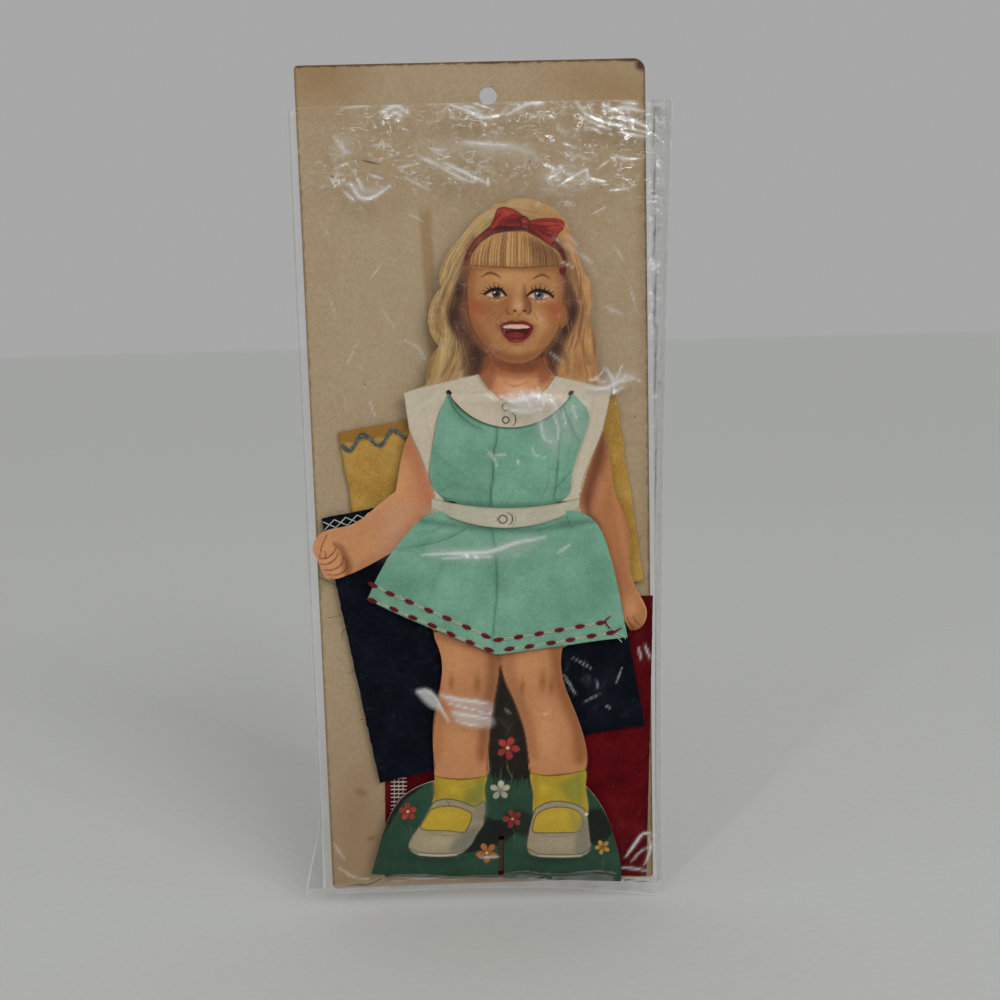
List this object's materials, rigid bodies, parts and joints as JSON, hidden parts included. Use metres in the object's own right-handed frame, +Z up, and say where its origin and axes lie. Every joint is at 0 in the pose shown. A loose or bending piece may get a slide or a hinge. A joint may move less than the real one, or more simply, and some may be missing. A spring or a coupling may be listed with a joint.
{
  "type": "paper doll",
  "caption": "Die-cut board doll in a stitched cloth dress tucked behind its collar flap and belt strap, with spare stitched cloths and a slot-in stand, in an open clear pouch on a hang card.",
  "frame": {"origin": "middle of the card's hang hole, half way through the card's thickness", "axes": "+Z up the card, the printed front faces -Y, +X to the right as seen from the front"},
  "size_m": [0.1482, 0.0124, 0.3218],
  "materials": {
    "kraft_board": "matte",
    "clear_film": "gloss",
    "printed_board": "satin",
    "teal_cotton": "matte",
    "red_yarn": "matte",
    "cream_thread": "matte",
    "mustard_cotton": "matte",
    "chenille_yarn": "matte",
    "navy_cotton": "matte",
    "white_thread": "matte",
    "red_cotton": "matte"
  },
  "bodies": {
    "card": {"backing_card": "kraft_board"},
    "bag": {"bag_back_film": "clear_film", "bag_front_film": "clear_film", "bag_side_seams": "clear_film", "bag_bottom_seam": "clear_film"},
    "doll": {"doll_figure": "printed_board", "teal_dress_cloth": "teal_cotton", "hem_stitches_red": "red_yarn", "hem_thread_cream": "cream_thread"},
    "collar": {"collar_flap": "printed_board"},
    "stand": {"stand_cross_piece": "printed_board"},
    "yellow": {"yellow_cloth": "mustard_cotton", "yellow_cloth_zigzag": "chenille_yarn"},
    "navy": {"navy_cloth": "navy_cotton", "navy_cloth_zigzag": "white_thread"},
    "red": {"red_cloth": "red_cotton", "red_cloth_ladder_stitch": "white_thread"}
  },
  "joints": [
    {"name": "bag_slides_off_card", "type": "slide", "parent": "card", "child": "bag", "axis": [0, 0, -1], "range_m": [0, 0.312]},
    {"name": "doll_lifts_out", "type": "slide", "parent": "bag", "child": "doll", "axis": [0, 0, 1], "range_m": [0, 0.3]},
    {"name": "collar_flap_lifts", "type": "hinge", "parent": "doll", "child": "collar", "pos_m": [0.00505, -0.00565, -0.10737], "axis": [-0.9995, 0, 0.0332], "range_deg": [0, 18]},
    {"name": "stand_piece_lifts_out", "type": "slide", "parent": "bag", "child": "stand", "axis": [0, 0, 1], "range_m": [0, 0.3]},
    {"name": "yellow_cloth_lifts_out", "type": "slide", "parent": "bag", "child": "yellow", "axis": [0, 0, 1], "range_m": [-0.1, 0.2]},
    {"name": "navy_cloth_lifts_out", "type": "slide", "parent": "bag", "child": "navy", "axis": [0, 0, 1], "range_m": [-0.04, 0.26]},
    {"name": "red_cloth_lifts_out", "type": "slide", "parent": "bag", "child": "red", "axis": [0, 0, 1], "range_m": [0, 0.3]}
  ]
}
